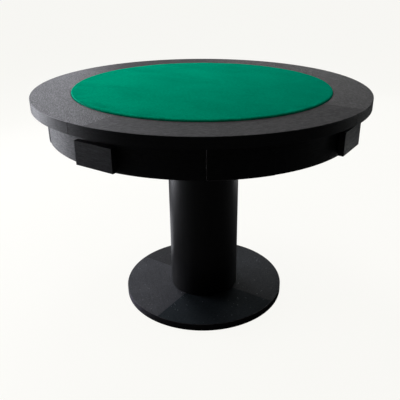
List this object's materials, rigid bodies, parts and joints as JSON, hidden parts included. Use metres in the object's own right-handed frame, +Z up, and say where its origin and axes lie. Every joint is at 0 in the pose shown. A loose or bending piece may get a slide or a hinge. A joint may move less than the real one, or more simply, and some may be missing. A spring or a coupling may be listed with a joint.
{
  "type": "poker table",
  "caption": "Round pedestal poker table with a felt playing surface set into a black wooden ring, pull-out cup and chip drawers in its curved apron, and a tubular column on a round base.",
  "frame": {"origin": "centre of the round base, on the floor", "axes": "+Z up; the four drawers pull out along +X, +Y, -X and -Y"},
  "size_m": [1.1, 1.1, 0.781],
  "materials": {
    "black_veneer": "black-stained ash veneer, satin lacquer, open grain",
    "black_edge": "black-stained edge band, satin lacquer",
    "black_apron": "black-stained bent plywood, satin lacquer",
    "black_column": "black-lacquered tube, semi-gloss",
    "black_board": "black-stained fibreboard, matt",
    "raw_board": "raw medium-density fibreboard",
    "raw_wood": "raw beech, planed",
    "green_felt": "green baize",
    "foam": "open-cell upholstery foam",
    "cup_steel": "spun stainless steel, satin",
    "zinc_steel": "bright zinc-plated steel",
    "glide_plastic": "black polypropylene"
  },
  "bodies": {
    "table": {"base_plate": "black_board", "base_band": "black_edge", "glides": "glide_plastic", "column_tube": "black_column", "column_bottom_plug": "raw_board", "column_top_plug": "raw_board", "tie_rod": "zinc_steel", "tie_nuts": "zinc_steel", "tie_washers": "zinc_steel", "mount_disc": "black_board", "column_screws": "zinc_steel", "sub_top": "black_board", "top_screws": "zinc_steel", "splice_blocks": "raw_wood", "apron_screws": "zinc_steel", "runner_strips": "raw_wood", "base_veneer_back_right": "black_veneer", "ring_back_right": "black_veneer", "rim_band_back_right": "black_edge", "splice_panel_back_right": "black_apron", "base_veneer_back_left": "black_veneer", "ring_back_left": "black_veneer", "rim_band_back_left": "black_edge", "splice_panel_back_left": "black_apron", "base_veneer_front_left": "black_veneer", "ring_front_left": "black_veneer", "rim_band_front_left": "black_edge", "splice_panel_front_left": "black_apron", "base_veneer_front_right": "black_veneer", "ring_front_right": "black_veneer", "rim_band_front_right": "black_edge", "splice_panel_front_right": "black_apron", "apron_right": "black_apron", "guides_right": "raw_wood", "apron_back": "black_apron", "guides_back": "raw_wood", "apron_left": "black_apron", "guides_left": "raw_wood", "apron_front": "black_apron", "guides_front": "raw_wood"},
    "felt_insert": {"insert_board": "raw_board", "insert_foam": "foam", "felt_cover": "green_felt"},
    "right_drawer": {"drawer_right_face": "black_apron", "drawer_right_tray": "black_board", "drawer_right_cup": "cup_steel", "drawer_right_dowels": "raw_wood"},
    "back_drawer": {"drawer_back_face": "black_apron", "drawer_back_tray": "black_board", "drawer_back_cup": "cup_steel", "drawer_back_dowels": "raw_wood"},
    "left_drawer": {"drawer_left_face": "black_apron", "drawer_left_tray": "black_board", "drawer_left_cup": "cup_steel", "drawer_left_dowels": "raw_wood"},
    "front_drawer": {"drawer_front_face": "black_apron", "drawer_front_tray": "black_board", "drawer_front_cup": "cup_steel", "drawer_front_dowels": "raw_wood"}
  },
  "joints": [
    {"name": "right_drawer_slide", "type": "slide", "parent": "table", "child": "right_drawer", "axis": [1, 0, 0], "range_m": [0, 0.23]},
    {"name": "back_drawer_slide", "type": "slide", "parent": "table", "child": "back_drawer", "axis": [0, 1, 0], "range_m": [0, 0.23]},
    {"name": "left_drawer_slide", "type": "slide", "parent": "table", "child": "left_drawer", "axis": [-1, 0, 0], "range_m": [0, 0.23]},
    {"name": "front_drawer_slide", "type": "slide", "parent": "table", "child": "front_drawer", "axis": [0, -1, 0], "range_m": [0, 0.23]},
    {"name": "felt_insert_lift", "type": "slide", "parent": "table", "child": "felt_insert", "axis": [0, 0, 1], "range_m": [0, 0.12]}
  ]
}
